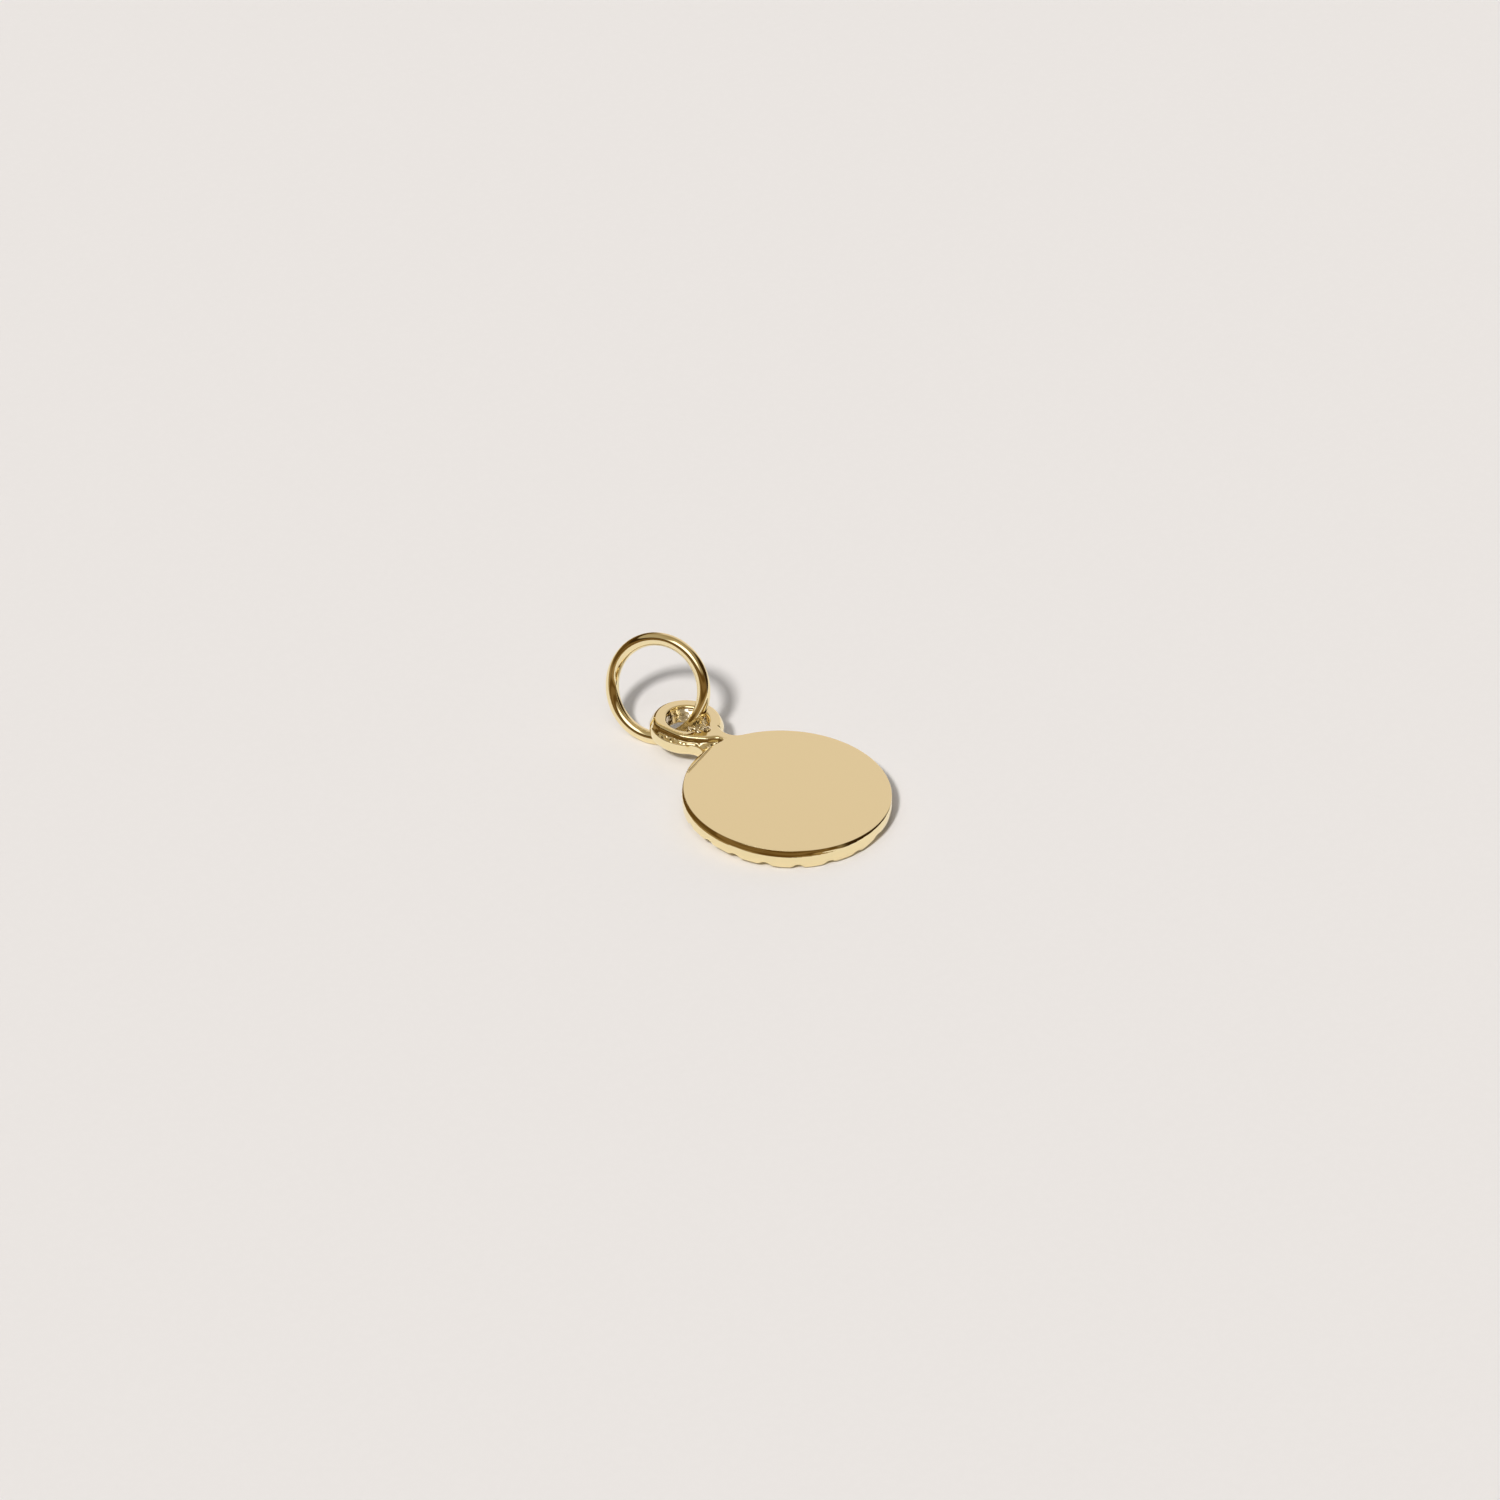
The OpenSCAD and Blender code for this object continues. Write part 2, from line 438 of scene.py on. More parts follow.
# The soft unevenness of the whole loop and neck, and its fades: each place and width
SOFT_HIGH = 0.004
SOFT_SIZE = 0.5
SOFT_ALONG_TAG = (5.2, 0.4)
SOFT_BELOW_FACE = (0.02, 0.05)


def cast_places(points):
    """Where the cast skin was left rough: 1 in the hole and the spot, less on the step's slope."""
    x, y, z = points.T
    in_hole = smooth_step(1 - np.abs(np.hypot(x, y - LOOP_Y) - HOLE_R) / HOLE_SKIN) * ramp(-z, *BELOW_FACE)
    off, left = step_place(points)
    slope = ramp(off, *SLOPE_BESIDE_LINE) * ramp(-outline_distance(points[:, :2]), *SLOPE_BESIDE_RIM)
    slope *= ramp(z, *SLOPE_HEIGHT) * ramp(left, *SLOPE_END) * ramp(-z, *BELOW_FACE)
    slope *= ramp(np.hypot(x, y) - DISC_R, *SLOPE_BESIDE_DISC)
    spot = ramp(SPOT_R - np.hypot(x - SPOT[0], y - SPOT[1]), 0, SPOT_FADE) * ramp(z, *SPOT_HEIGHT)
    return np.maximum(np.maximum(in_hole, spot), SLOPE_CAST * slope)


def cast_texture(points, normals, cast):
    """The loop and the neck were cast and only lightly polished, so their skin is uneven."""
    soft = SOFT_HIGH * ramp(points[:, 1], *SOFT_ALONG_TAG) * ramp(-points[:, 2], *SOFT_BELOW_FACE)
    skin = sum(high * cast * noise_at(points, size, seed) for high, size, seed in ROUGH_SKIN)
    return points + normals * (skin + soft * noise_at(points, SOFT_SIZE, seed=2))[:, None]


# Beads of metal left in the hole by the casting: centre and radius
BEADS = [((-0.47, 6.70, -0.09), 0.18), ((-0.22, 6.62, -0.14), 0.17), ((0.06, 6.56, -0.13), 0.16),
         ((0.05, 6.34, -0.05), 0.17), ((0.30, 6.66, -0.16), 0.19), ((0.50, 6.72, -0.18), 0.14),
         ((-0.28, 6.34, -0.10), 0.19), ((0.23, 6.36, -0.08), 0.16)]
BEAD_ROUNDS = 3
# How uneven a bead is, the size of its bumps in radii, and how fast they change from bead to bead
BEAD_UNEVEN = 0.4
BEAD_BUMPS = 0.9
BEAD_APART = 10
BEAD_CAST = 0.5


def add_beads(points, faces, cast):
    """Adds the casting's uneven beads to the tag's mesh."""
    ball = bmesh.new()
    bmesh.ops.create_icosphere(ball, subdivisions=BEAD_ROUNDS, radius=1)
    ball.verts.ensure_lookup_table()
    rays = np.array([v.co for v in ball.verts])
    tris = [[v.index for v in f.verts] for f in ball.faces]
    ball.free()
    for place, radius in BEADS:
        bumps = noise_at(rays + np.array(place) * BEAD_APART, BEAD_BUMPS, seed=6)
        size = radius * (1 + BEAD_UNEVEN * bumps)
        faces += [[len(points) + i for i in t] for t in tris]
        points = np.concatenate([points, place + rays * size[:, None]])
        cast = np.concatenate([cast, np.full(len(rays), BEAD_CAST)])
    return points, faces, cast


# Normals: those of the mesh, with the polished bevel's and the ridges of the hole's skin

# The polished bevel under the face, round the disc's near side. Columns: azimuth, how far down
# it reaches, and the angle of its surface's normal above level at its top and at its foot
BEVEL = np.array([
    (118, 0.02, 60, 52),
    (130, 0.15, 55, 46),
    (150, 0.30, 46, 37),
    (170, 0.34, 36, 26),
    (200, 0.36, 33, 20),
    (230, 0.36, 33, 20.5),
    (250, 0.285, 33, 21.5),
    (262, 0.21, 33, 23.5),
    (275, 0.155, 35, 26),
    (290, 0.12, 40, 31),
    (305, 0.08, 46, 39),
    (325, 0.02, 60, 50),
])
BEVEL_TOP = 0.02
BEVEL_LEAST = 0.001
# The polish's streaks: length in degrees round the disc, width, how far they turn the surface, and
# their place in the noise
STREAK_LENGTH = 24
STREAK_W = 0.09
STREAK_TURN = 8
STREAK_PLACE = 2
# The ridges in the hole: mean angle of their normals above level, how far it varies, and their size
RIDGE_TILT = 57
RIDGE_SPREAD = 34
RIDGE_SIZE = 0.2
# How far they reach beside the hole's wall, and how far they keep clear of the face and underside
RIDGE_REACH = 0.12
RIDGE_CLEAR = 0.1
RIDGE_FADE = 0.08


def surface_normals(points, faces):
    """Area-weighted normals of the points of a mesh of triangles and quads."""
    normals = np.zeros_like(points)
    for f in faces:
        p = points[f]
        sides = (p[1] - p[0], p[2] - p[0]) if len(f) == 3 else (p[2] - p[0], p[3] - p[1])
        normals[f] += np.cross(*sides)
    return normals / np.maximum(np.linalg.norm(normals, axis=1), 1e-12)[:, None]


def bevel_normals(normals, base, outward, plain, levels):
    """Turns the normals of the disc's rim to those of its polished bevel, except where it is plain."""
    azimuth = np.degrees(np.arctan2(base[:, 1], base[:, 0])) % 360
    foot, high, low = (np.interp(azimuth, BEVEL[:, 0], column, left=0, right=0) for column in BEVEL.T[1:])
    count = len(base)
    for k, height in enumerate(levels):
        down = (-height - BEVEL_TOP) / np.maximum(foot - BEVEL_TOP, BEVEL_LEAST)
        places = [Vector((a / STREAK_LENGTH, height / STREAK_W, STREAK_PLACE)) for a in azimuth]
        streak = [noise.noise(place) for place in places]
        angle = np.radians(high + (low - high) * down + STREAK_TURN * np.array(streak))
        polished = np.column_stack([outward * np.cos(angle)[:, None], np.sin(angle)])
        inside = (down >= 0) & (down <= 1) & (foot > BEVEL_TOP) & ~plain
        part = slice((k + 1) * count, (k + 2) * count)
        normals[part] = np.where(inside[:, None], polished, normals[part])
    return normals


def hole_normals(normals, points, beads_from):
    """Tilts the hole's rough skin up, as its ridges lie, and unevenly, but not the beads."""
    x, y, z = points.T
    away = np.abs(np.hypot(x, y - LOOP_Y) - HOLE_R)
    inward = np.column_stack([-x, LOOP_Y - y]) / np.hypot(x, y - LOOP_Y)[:, None]
    angle = np.radians(RIDGE_TILT + RIDGE_SPREAD * noise_at(points, RIDGE_SIZE, seed=8))
    tilted = np.column_stack([inward * np.cos(angle)[:, None], np.sin(angle)])
    share = ramp(RIDGE_REACH - away, 0, RIDGE_FADE)
    share *= ramp(-z, RIDGE_CLEAR, RIDGE_FADE) * ramp(z + TAG_T, RIDGE_CLEAR, RIDGE_FADE)
    share[beads_from:] = 0
    mixed = normals + share[:, None] * (tilted - normals)
    return mixed / np.linalg.norm(mixed, axis=1)[:, None]


# Points to spread over the face and the underside, so that their meshes follow the shapes

# Rows beside the step's line, a scratch in half widths, the file's scratch and the disc's edge
STEP_ROWS = (-0.12, -0.09, -0.06, -0.03, 0, 0.025, 0.05, 0.07, 0.09, 0.115, 0.15, 0.19, 0.23)
SCRATCH_ROWS = np.array([-1.1, -0.6, 0, 0.6, 1.1])
FILE_ROWS = (-0.08, -0.12, -0.16)
DISC_ROWS = (-0.02, 0.002, 0.025, 0.05)
STEP_ROW_STEP = 0.035
SCRATCH_ROW_STEP = 0.03
FILE_ROW_STEP = 0.05
NECK_ANGLES = np.arange(82, 118, 0.4)
# Of the rows' points in one square of this grid one is kept, and the lattice keeps clear of them
ROW_GRID = 0.018
ROW_CLEAR = 0.02
# Lattices over the loop with the neck, and over the disc, and the radius of the disc's underneath
LOOP_LOW = (-2, 4.6)
LOOP_HIGH = (2, 9.3)
LOOP_LATTICE = 0.045
DISC_LOW = (-5, -5)
DISC_HIGH = (5, 4.4)
DISC_LATTICE = 0.8
UNDER_LATTICE_R = 3.4
# The grid round each notch: radii and widths
NOTCH_RADII = np.linspace(3.6, 4.6, 11)
NOTCH_WIDTHS = np.linspace(-0.3, 0.3, 11)
# The flat caps begin this far inside a rim, and their points keep clear of that ring
CAP_MARGIN = 0.02
CAP_CLEAR = 0.02
CAP_TOLERANCE = 1e-7


def hex_grid(low, high, step):
    """Points of a triangular lattice in a rectangle."""
    rows = np.arange(low[1], high[1], step * math.sqrt(3) / 2)
    return np.array([(x + (step / 2 if k % 2 else 0), y) for k, y in enumerate(rows)
                     for x in np.arange(low[0], high[0], step)])


def line_rows(line, offsets, step):
    """Points in rows beside a line, so that the mesh's edges run along it."""
    points = []
    for start, end in zip(line[:-1], line[1:]):
        along = (end - start) / np.linalg.norm(end - start)
        side = np.array([along[1], -along[0]])
        for run in np.arange(0, np.linalg.norm(end - start), step):
            points += [start + along * run + side * off for off in offsets]
    return points


def top_rows():
    """Rows of points for the cap of the face, along the step, the scratches and the disc's edge."""
    points = line_rows(STEP_LINE, STEP_ROWS, STEP_ROW_STEP)
    for start, end, half, _ in SCRATCHES:
        points += line_rows(np.array([start, end]), half * SCRATCH_ROWS, SCRATCH_ROW_STEP)
    points += line_rows(np.array(FILE_SCRATCH[:2]), FILE_ROWS, FILE_ROW_STEP)
    for angle in np.radians(NECK_ANGLES):
        ray = np.array([math.cos(angle), math.sin(angle)])
        points += [ray * (DISC_R + off) for off in DISC_ROWS]
    grid = np.round(np.array(points) / ROW_GRID)
    _, kept = np.unique(grid, axis=0, return_index=True)
    return np.array(points)[kept]


def notch_grids():
    """Points round every notch."""
    points = []
    for i in range(NOTCH_COUNT):
        turned = math.radians((i - (NOTCH_COUNT - 1) / 2) * NOTCH_PITCH + NOTCH_TURN)
        for r in NOTCH_RADII:
            points += [(r * math.sin(turned + a / r), -r * math.cos(turned + a / r)) for a in NOTCH_WIDTHS]
    return np.array(points)


def spread_points():
    """Points over the face and points over the underside."""
    rows = top_rows()
    loop = hex_grid(LOOP_LOW, LOOP_HIGH, LOOP_LATTICE)
    apart = np.min(np.linalg.norm(loop[:, None] - rows[None], axis=2), axis=1)
    loop = loop[apart > ROW_CLEAR]
    disc = hex_grid(DISC_LOW, DISC_HIGH, DISC_LATTICE)
    under = disc[np.hypot(*disc.T) < UNDER_LATTICE_R]
    return np.concatenate([rows, loop, disc]), np.concatenate([loop, under, notch_grids()])


def nearest_value(points, base, values):
    """For each point, the value that belongs to the nearest point of base."""
    found = np.empty(len(points))
    batch = 1000
    for first in range(0, len(points), batch):
        part = points[first:first + batch]
        apart = np.hypot(part[:, None, 0] - base[None, :, 0], part[:, None, 1] - base[None, :, 1])
        found[first:first + batch] = values[apart.argmin(1)]
    return found


def inside_cap(points, base, insets):
    """The points that lie inside the cap, clear of the rim and of the hole."""
    wanted = -outline_distance(points) > nearest_value(points, base, insets) + CAP_CLEAR
    hole_cap_r = HOLE_R + HOLE_EDGE_R + CAP_MARGIN + CAP_CLEAR
    wanted &= np.hypot(points[:, 0], points[:, 1] - LOOP_Y) > hole_cap_r
    return points[wanted]


def fill(outer, hole, inner_points):
    """Triangles that fill the space between the outer ring and the hole's ring."""
    points = np.concatenate([outer, hole, inner_points])
    n, m = len(outer), len(hole)
    edges = [(i, (i + 1) % n) for i in range(n)] + [(n + i, n + (i + 1) % m) for i in range(m)]
    flat_points = [Vector(p) for p in points]
    _, _, tris, origin, _, _ = delaunay_2d_cdt(flat_points, edges, [], 0, CAP_TOLERANCE)
    index = [o[0] for o in origin]
    kept = []
    for t in tris:
        ids = [index[v] for v in t]
        if all(i < n for i in ids):
            a, b, c = points[sorted(ids)]
            in_pocket = (b[0] - a[0]) * (c[1] - a[1]) <= (b[1] - a[1]) * (c[0] - a[0])
            if in_pocket:
                continue
        if all(n <= i < n + m for i in ids):
            continue
        kept.append(ids)
    return np.array(kept)


# The tag

def wall_rings(ring_at, levels, first, inward):
    """Rings of points down a wall, with one more at each end where a flat cap begins, and the quads
    between them. The first point's index is first."""
    rings, quads = [], []
    for k in range(-1, levels + 1):
        level = min(max(k, 0), levels - 1)
        rings.append(ring_at(level, CAP_MARGIN if k != level else 0))
        count = len(rings[-1])
        if k >= 0:
            pair = [first + k * count, first + (k + 1) * count]
            quads.append(ring_strip(*(pair[::-1] if inward else pair), count))
    return rings, np.concatenate(quads)


def plain_tag(base, outward, loopness, disc):
    """The tag's points and faces before the files and the casting left their marks."""
    loop = rim_profile(LOOP_RIM, RIM_WALL, RIM_COUNTS)
    hole = rim_profile(HOLE_RIM, HOLE_WALL, HOLE_COUNTS)
    angle = np.linspace(0, 2 * math.pi, HOLE_SIDES, endpoint=False)
    circle = np.stack([np.cos(angle), np.sin(angle)], 1)

    def rim_at(level):
        return (disc[level] + (loop[level] - disc[level]) * loopness[:, None]).T

    def rim_ring(level, margin):
        inset, height = rim_at(level)
        return np.column_stack([base - outward * (inset + margin)[:, None], height])

    def hole_ring(level, margin):
        ring = np.array([0, LOOP_Y]) + circle * (HOLE_R + hole[level, 0] + margin)
        return np.column_stack([ring, np.full(HOLE_SIDES, hole[level, 1])])

    rim, rim_quads = wall_rings(rim_ring, len(disc), 0, False)
    rim_count = len(rim) * len(base)
    wall, hole_quads = wall_rings(hole_ring, len(hole), rim_count, True)
    points = np.concatenate(rim + wall)
    faces = rim_quads.tolist() + hole_quads.tolist()
    # The flat caps: the face's, and then the underside's
    for end, height, spread in zip((0, -1), (0, -TAG_T), spread_points()):
        spread = inside_cap(spread, base, rim_at(end)[0] + CAP_MARGIN)
        outer_from = end % len(rim) * len(base)
        hole_from = rim_count + end % len(wall) * HOLE_SIDES
        index = np.concatenate([outer_from + np.arange(len(base)), hole_from + np.arange(HOLE_SIDES),
                                len(points) + np.arange(len(spread))])
        tris = index[fill(rim[end][:, :2], wall[end][:, :2], spread)]
        faces += (tris if end == 0 else tris[:, ::-1]).tolist()
        points = np.concatenate([points, np.column_stack([spread, np.full(len(spread), height)])])
    return points, faces


def build_tag():
    """The tag with its file marks, its rough cast skin and its polished bevel."""
    base, outward, loopness = tag_outline()
    disc = rim_profile(DISC_RIM, RIM_WALL, RIM_COUNTS)
    points, faces = plain_tag(base, outward, loopness, disc)
    points = wear_edge(cut_notches(mark_top(file_flat(cut_step(points)))))
    cast = cast_places(points)
    points = cast_texture(points, surface_normals(points, faces), cast)
    beads_from = len(points)
    points, faces, cast = add_beads(points, faces, cast)
    on_flat = (np.abs(base @ FLAT_ALONG) < FLAT_HALF) & (base @ FLAT_OUT > 0)
    plain = on_flat | (loopness > 0)
    normals = bevel_normals(surface_normals(points, faces), base, outward, plain, disc[:, 1])
    normals = hole_normals(normals, points, beads_from)
    return make_mesh("tag_surface", points, faces, tag_place, normals, cast)


# The jump ring

RING_SIDES = 320
WIRE_SIDES = 56
# The lines that drawing left along the wire: height, how close they are, and place in the noise
LINE_HIGH = 0.004
LINES_ROUND = 3
LINES_PLACE = 4
# How the wire's radius wanders: how far, how fast round the ring and round the wire, and its place
WANDER_HIGH = 0.005
WANDER_ALONG = 2.2
WANDER_ROUND = 1.5
WANDER_PLACE = 9


def noise_round(radius, angle, height):
    """Smooth noise on a circle, so that it meets itself after a full turn."""
    return noise.noise(Vector((radius * math.cos(angle), radius * math.sin(angle), height)))


def build_ring():
    """The jump ring: drawn wire bent round and soldered, with the wire's slight unevenness."""
    u = np.linspace(0, 2 * math.pi, RING_SIDES, endpoint=False)[:, None]
    v = np.linspace(0, 2 * math.pi, WIRE_SIDES, endpoint=False)[None]
    lines = [noise_round(LINES_ROUND, a, LINES_PLACE) for a in v[0]]
    wander = [[noise_round(WANDER_ALONG, b, WANDER_PLACE + WANDER_ROUND * math.cos(a)) for a in v[0]]
              for b in u[:, 0]]
    wire = WIRE_R + LINE_HIGH * np.array(lines)[None] + WANDER_HIGH * np.array(wander)
    x = (RING_R + wire * np.cos(v)) * np.cos(u)
    y = (RING_R + wire * np.cos(v)) * np.sin(u)
    z = wire * np.sin(v)
    points = np.stack([x, y, z], -1).reshape(-1, 3)
    i, j = np.meshgrid(np.arange(RING_SIDES), np.arange(WIRE_SIDES), indexing="ij")
    here, ahead = i * WIRE_SIDES, (i + 1) % RING_SIDES * WIRE_SIDES
    beside = (j + 1) % WIRE_SIDES
    faces = np.stack([here + j, ahead + j, ahead + beside, here + beside], -1).reshape(-1, 4)
    return make_mesh("jump_ring_surface", points, faces, ring_place)


# Materials

# Grains and bumps are in millimetres, and variations and shades are shares of the value they change
GOLD_COLOUR = (1.0, 0.86, 0.52, 1)
CAST_COLOUR = (1.0, 0.93, 0.78, 1)
GOLD_ROUGHNESS = 0.03
GOLD_VARIATION = 0.3
# The roughness that the cast skin adds
CAST_ROUGHNESS = 0.05
GOLD_GRAIN = 0.06
GOLD_DETAIL = 4
GOLD_BUMP = 0.00002
PAPER_COLOUR = (0.806, 0.796, 0.802)
PAPER_ROUGHNESS = 0.95
PAPER_SPECULAR = 0.1
PAPER_GRAIN = 0.4
PAPER_DETAIL = 5
PAPER_SHADE = 0.012
PAPER_BUMP = 0.004


def new_material(name):
    """A material with its node tree and its shader."""
    material = bpy.data.materials.new(name)
    material.use_nodes = True
    return material, material.node_tree, material.node_tree.nodes["Principled BSDF"]


def scaled_colour(colour, strength):
    """A colour of that strength, for a colour socket."""
    return (*[c * strength for c in colour], 1)


def colour_mix(tree):
    """The sockets of a node that mixes two colours: factor, first, second and result."""
    mix = tree.nodes.new("ShaderNodeMix")
    mix.data_type = "RGBA"
    return mix.inputs[0], mix.inputs[6], mix.inputs[7], mix.outputs[2]


def add_grain(tree, shader, size, detail, bump_height):
    """Noise fixed to the object, used as the shader's bump. Sizes are in millimetres."""
    coords = tree.nodes.new("ShaderNodeTexCoord")
    grain = tree.nodes.new("ShaderNodeTexNoise")
    grain.inputs["Scale"].default_value = 1 / (size * MM)
    grain.inputs["Detail"].default_value = detail
    tree.links.new(coords.outputs["Object"], grain.inputs["Vector"])
    bump = tree.nodes.new("ShaderNodeBump")
    bump.inputs["Distance"].default_value = bump_height * MM
    tree.links.new(grain.outputs["Fac"], bump.inputs["Height"])
    tree.links.new(bump.outputs["Normal"], shader.inputs["Normal"])
    return grain.outputs["Fac"]


def gold(name):
    """Polished gold, paler and a little rougher where the cast skin is left."""
    material, tree, shader = new_material(name)
    shader.inputs["Metallic"].default_value = 1.0
    skin = tree.nodes.new("ShaderNodeAttribute")
    skin.attribute_name = "cast"
    factor, polished, cast, tint = colour_mix(tree)
    polished.default_value = GOLD_COLOUR
    cast.default_value = CAST_COLOUR
    tree.links.new(skin.outputs["Fac"], factor)
    tree.links.new(tint, shader.inputs["Base Color"])
    grain = add_grain(tree, shader, GOLD_GRAIN, GOLD_DETAIL, GOLD_BUMP)
    spread = tree.nodes.new("ShaderNodeMapRange")
    spread.inputs["To Min"].default_value = GOLD_ROUGHNESS * (1 - GOLD_VARIATION)
    spread.inputs["To Max"].default_value = GOLD_ROUGHNESS * (1 + GOLD_VARIATION)
    tree.links.new(grain, spread.inputs["Value"])
    rougher = tree.nodes.new("ShaderNodeMath")
    rougher.operation = "MULTIPLY_ADD"
    rougher.inputs[1].default_value = CAST_ROUGHNESS
    tree.links.new(skin.outputs["Fac"], rougher.inputs[0])
    tree.links.new(spread.outputs["Result"], rougher.inputs[2])
    tree.links.new(rougher.outputs[0], shader.inputs["Roughness"])
    return material


def paper():
    """Matt pale paper with faint fibres."""
    material, tree, shader = new_material("paper")
    shader.inputs["Roughness"].default_value = PAPER_ROUGHNESS
    shader.inputs["Specular IOR Level"].default_value = PAPER_SPECULAR
    factor, dark, light, shade = colour_mix(tree)
    dark.default_value = scaled_colour(PAPER_COLOUR, 1 - PAPER_SHADE)
    light.default_value = scaled_colour(PAPER_COLOUR, 1 + PAPER_SHADE)
    tree.links.new(add_grain(tree, shader, PAPER_GRAIN, PAPER_DETAIL, PAPER_BUMP), factor)
    tree.links.new(shade, shader.inputs["Base Color"])
    return material


def dress(piece, node, slot):
    """Gives a piece its gold, sets what it rides on, and hides the imported part of the node it stands in
    for.
    """
    piece.data.materials.append(gold(slot))
    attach(piece, "root")
    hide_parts(node)


dress(build_tag(), "tag", "polished_gold")
dress(build_ring(), "jump_ring", "ring_gold")


# Floor

# Half the floor's side, in metres
FLOOR_HALF = 2.0


def build_floor():
    """A flat sheet of paper at the height that the pendant lies on."""
    corners = [(-1, -1), (1, -1), (1, 1), (-1, 1)]
    mesh = bpy.data.meshes.new("floor")
    mesh.from_pydata([(x * FLOOR_HALF, y * FLOOR_HALF, 0) for x, y in corners], [], [(0, 1, 2, 3)])
    floor = bpy.data.objects.new("floor", mesh)
    bpy.context.scene.collection.objects.link(floor)
    floor.data.materials.append(paper())


build_floor()


# Camera: a long lens, looking down across the tag from its disc side

# Angles in degrees, and lengths in millimetres
CAMERA_TURN = -40.38
CAMERA_ELEVATION = 32.01
CAMERA_DISTANCE = 362.7
CAMERA_LENS = 180
SENSOR = 36
CAMERA_NEAREST = 10
LOOK_AT = Vector((2.355, 1.929, 0))
# Half a pixel of the photograph's frame, at the camera's distance
FRAME_PIXELS = 1500
HALF_PIXEL = 0.5 * CAMERA_DISTANCE * SENSOR / CAMERA_LENS / FRAME_PIXELS


def direction(azimuth, elevation):
    """Unit vector towards a place in the studio: azimuth 0 is the camera's side, 90 its right."""
    a = math.radians(azimuth + CAMERA_TURN - 90)
    e = math.radians(elevation)
    return Vector((math.cos(a) * math.cos(e), math.sin(a) * math.cos(e), math.sin(e)))


def build_camera():
    """The camera at the photograph's angle, half a pixel off the middle of its frame."""
    data = bpy.data.cameras.new("camera")
    data.lens = CAMERA_LENS
    data.sensor_width = SENSOR
    data.clip_start = CAMERA_NEAREST * MM
    camera = bpy.data.objects.new("camera", data)
    bpy.context.scene.collection.objects.link(camera)
    back = direction(0, CAMERA_ELEVATION)
    camera.rotation_mode = "QUATERNION"
    camera.rotation_quaternion = (-back).to_track_quat("-Z", "Y")
    right = camera.rotation_quaternion @ Vector((1, 0, 0))
    up = camera.rotation_quaternion @ Vector((0, 1, 0))
    target = LOOK_AT - right * HALF_PIXEL + up * HALF_PIXEL
    camera.location = (target + back * CAMERA_DISTANCE) * MM
    bpy.context.scene.camera = camera


build_camera()


# Light: a soft key light, a weak cool fill from above, and a plain studio round the table

# Azimuths, elevations and widths are in degrees
KEY_AZIMUTH = -20.0
KEY_ELEVATION = 42.8
KEY_WIDTH = 6.5
KEY_STRENGTH = 2.72
KEY_COLOUR = (1.0, 0.967, 0.928)
FILL_AZIMUTH = 0
FILL_ELEVATION = 90
FILL_WIDTH = 100
FILL_STRENGTH = 0.27
FILL_COLOUR = (0.0, 0.43, 1.0)


def far_light(name, azimuth, elevation, width, strength, colour):
    """A soft light from far off, so that the whole table is lit alike. The metal mirrors the studio
    instead of it."""
    data = bpy.data.lights.new(name, "SUN")
    data.angle = math.radians(width)
    data.energy = strength
    data.color = colour
    lamp = bpy.data.objects.new(name, data)
    bpy.context.scene.collection.objects.link(lamp)
    lamp.rotation_mode = "QUATERNION"
    lamp.rotation_quaternion = (-direction(azimuth, elevation)).to_track_quat("-Z", "Y")
    lamp.visible_glossy = False


far_light("key", KEY_AZIMUTH, KEY_ELEVATION, KEY_WIDTH, KEY_STRENGTH, KEY_COLOUR)
far_light("fill", FILL_AZIMUTH, FILL_ELEVATION, FILL_WIDTH, FILL_STRENGTH, FILL_COLOUR)


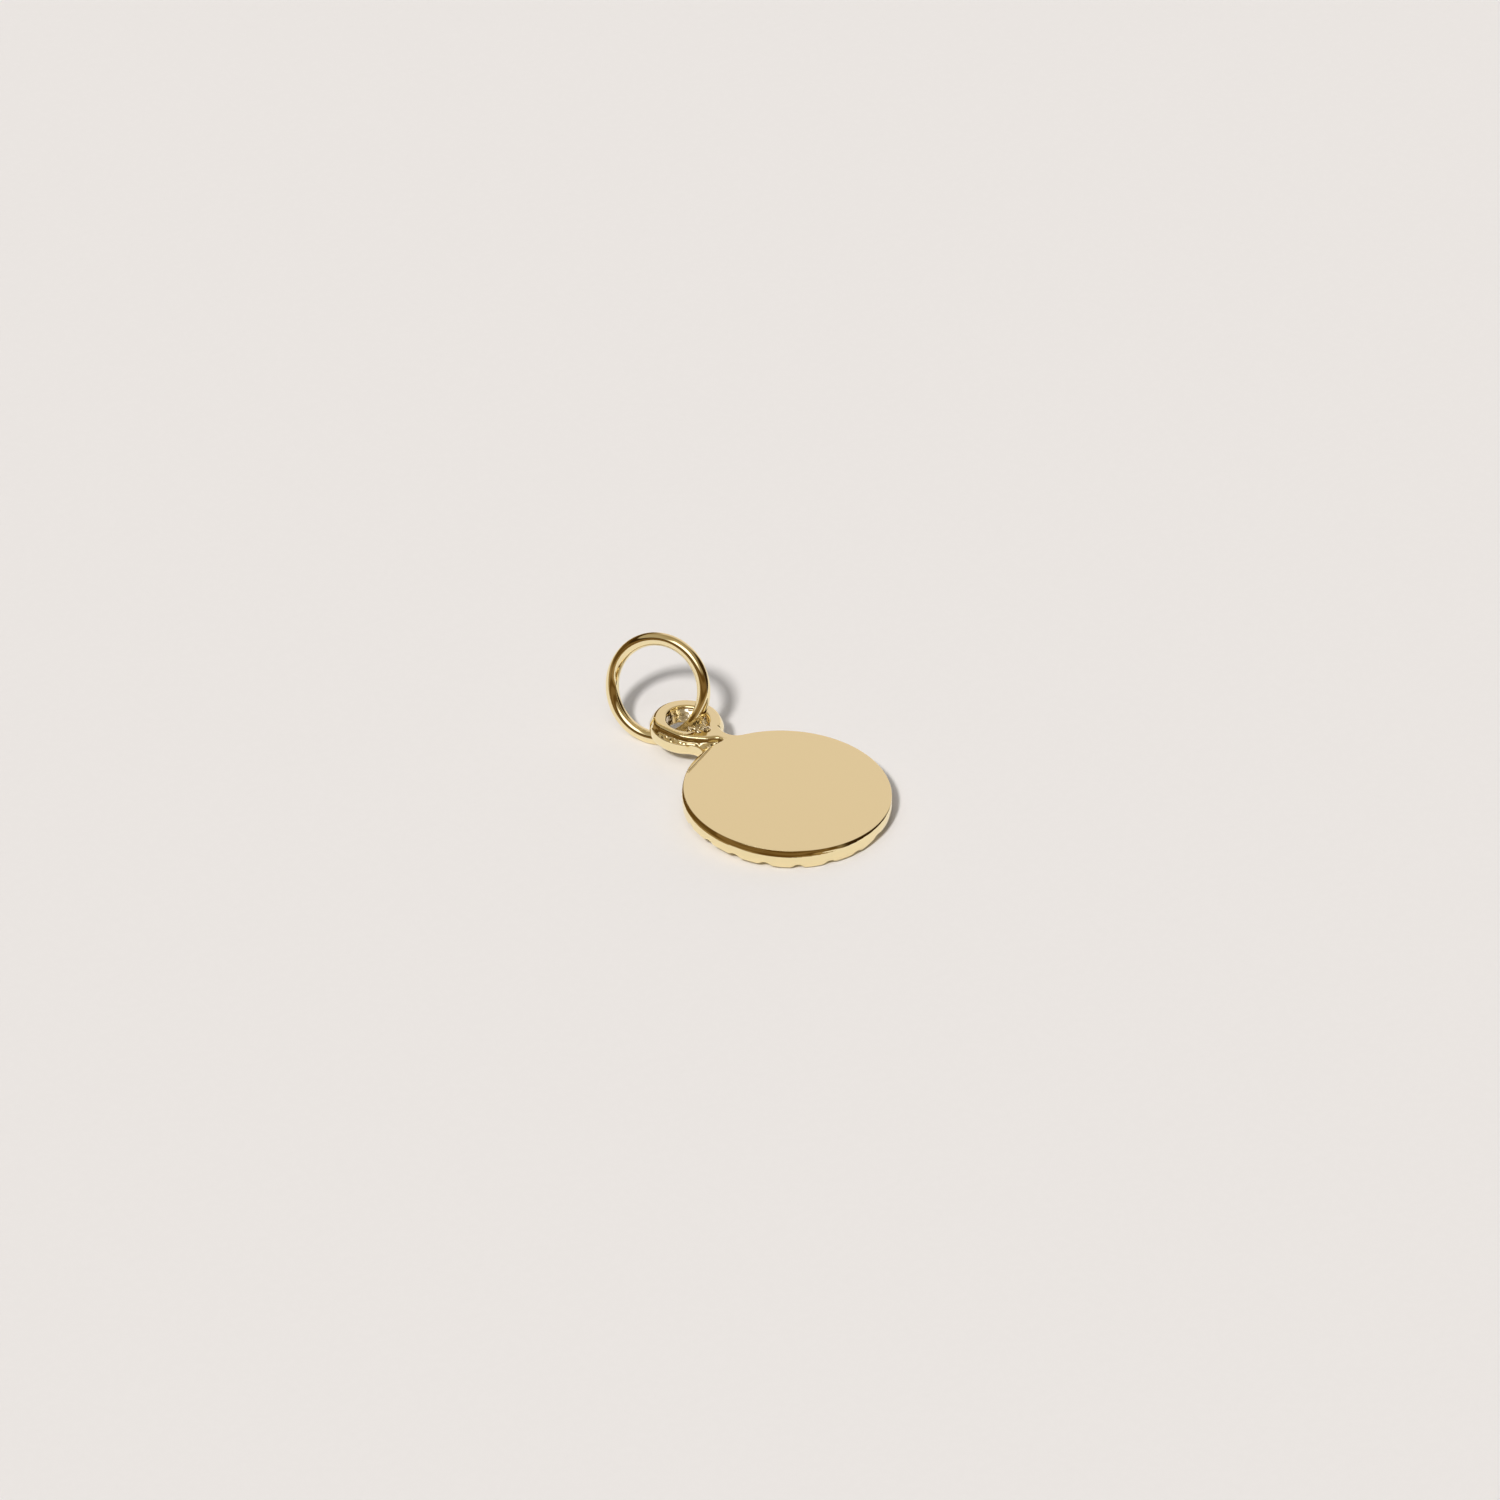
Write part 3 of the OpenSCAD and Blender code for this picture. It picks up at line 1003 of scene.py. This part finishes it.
class WorldNodes:
    """The few nodes that a world of soft-edged patches needs, on the direction of a ray."""

    def __init__(self, tree):
        self.nodes, self.links = tree.nodes, tree.links
        self.ray = self.nodes.new("ShaderNodeTexCoord").outputs["Generated"]
        self.elevation = self.math("ARCSINE", self.dot((0, 0, 1)))

    def put(self, socket, value):
        """Sets a socket to a number, or links another socket to it."""
        if isinstance(value, (int, float)):
            socket.default_value = value
        else:
            self.links.new(value, socket)

    def dot(self, axis):
        """How far the ray points along an axis."""
        node = self.nodes.new("ShaderNodeVectorMath")
        node.operation = "DOT_PRODUCT"
        node.inputs[1].default_value = axis
        self.links.new(self.ray, node.inputs[0])
        return node.outputs["Value"]

    def math(self, operation, *values):
        """The result of a sum on sockets or numbers."""
        node = self.nodes.new("ShaderNodeMath")
        node.operation = operation
        for socket, value in zip(node.inputs, values):
            self.put(socket, value)
        return node.outputs[0]

    def fade(self, angle, half, soft):
        """1 where the angle is within half of zero, and 0 beyond, over a soft edge."""
        node = self.nodes.new("ShaderNodeMapRange")
        node.interpolation_type = "SMOOTHSTEP"
        node.inputs["From Min"].default_value = math.radians(half + soft / 2)
        node.inputs["From Max"].default_value = math.radians(half - soft / 2)
        self.links.new(self.math("ABSOLUTE", angle), node.inputs["Value"])
        return node.outputs["Result"]

    def patch(self, azimuth, elevation, half_width, half_height, soft):
        """How much a ray lies in a patch of the studio, 0 to 1."""
        beside, towards = self.dot(direction(azimuth + 90, 0)), self.dot(direction(azimuth, 0))
        sideways = self.math("ARCTAN2", beside, towards)
        upwards = self.math("SUBTRACT", self.elevation, math.radians(elevation))
        across = self.fade(sideways, half_width, soft)
        return self.math("MULTIPLY", across, self.fade(upwards, half_height, soft))


# Patches of the studio, each over those before it, on a plain warm base.
# Columns: azimuth, elevation, half width, half height, softness, colour and strength
STUDIO = [
    (165, 8, 32, 40, 24, (1.0, 0.90, 0.83), 0.74),
    (172, 2, 34, 8, 8, (1.0, 0.93, 0.84), 0.95),
    (-95, 0, 55, 6, 8, (1.0, 0.90, 0.78), 0.50),
    (-95, 45, 40, 25, 30, (1.0, 0.86, 0.62), 0.42),
    (-60, 18, 115, 17, 7, (1.0, 0.55, 0.14), 0.11),
    (-40, 3, 120, 4, 4, (1.0, 0.70, 0.33), 0.30),
    (-15, 19, 60, 5, 5, (1.0, 0.62, 0.24), 0.19),
    (-17, 56, 33, 14, 16, (1.0, 0.985, 0.96), 2.1),
    (-85, 31, 62, 5, 4, (1.0, 0.5, 0.12), 0.04),
    (92, 24, 34, 28, 18, (1.0, 0.5, 0.12), 0.035),
    (0, 90, 200, 12, 14, (1.0, 0.80, 0.48), 0.46),
]
STUDIO_BASE = ((1.0, 0.80, 0.50), 0.33)


def build_world():
    """The studio that the metal mirrors."""
    world = bpy.data.worlds.new("studio")
    world.use_nodes = True
    tree = world.node_tree
    studio = WorldNodes(tree)
    light = tree.nodes.new("ShaderNodeRGB").outputs[0]
    light.default_value = scaled_colour(*STUDIO_BASE)
    for azimuth, elevation, width, height, soft, colour, strength in STUDIO:
        factor, below, above, mixed = colour_mix(tree)
        tree.links.new(studio.patch(azimuth, elevation, width, height, soft), factor)
        tree.links.new(light, below)
        above.default_value = scaled_colour(colour, strength)
        light = mixed
    tree.links.new(light, tree.nodes["Background"].inputs["Color"])
    bpy.context.scene.world = world


build_world()
bpy.context.scene.view_settings.view_transform = "Standard"
bpy.context.scene.cycles.use_denoising = True
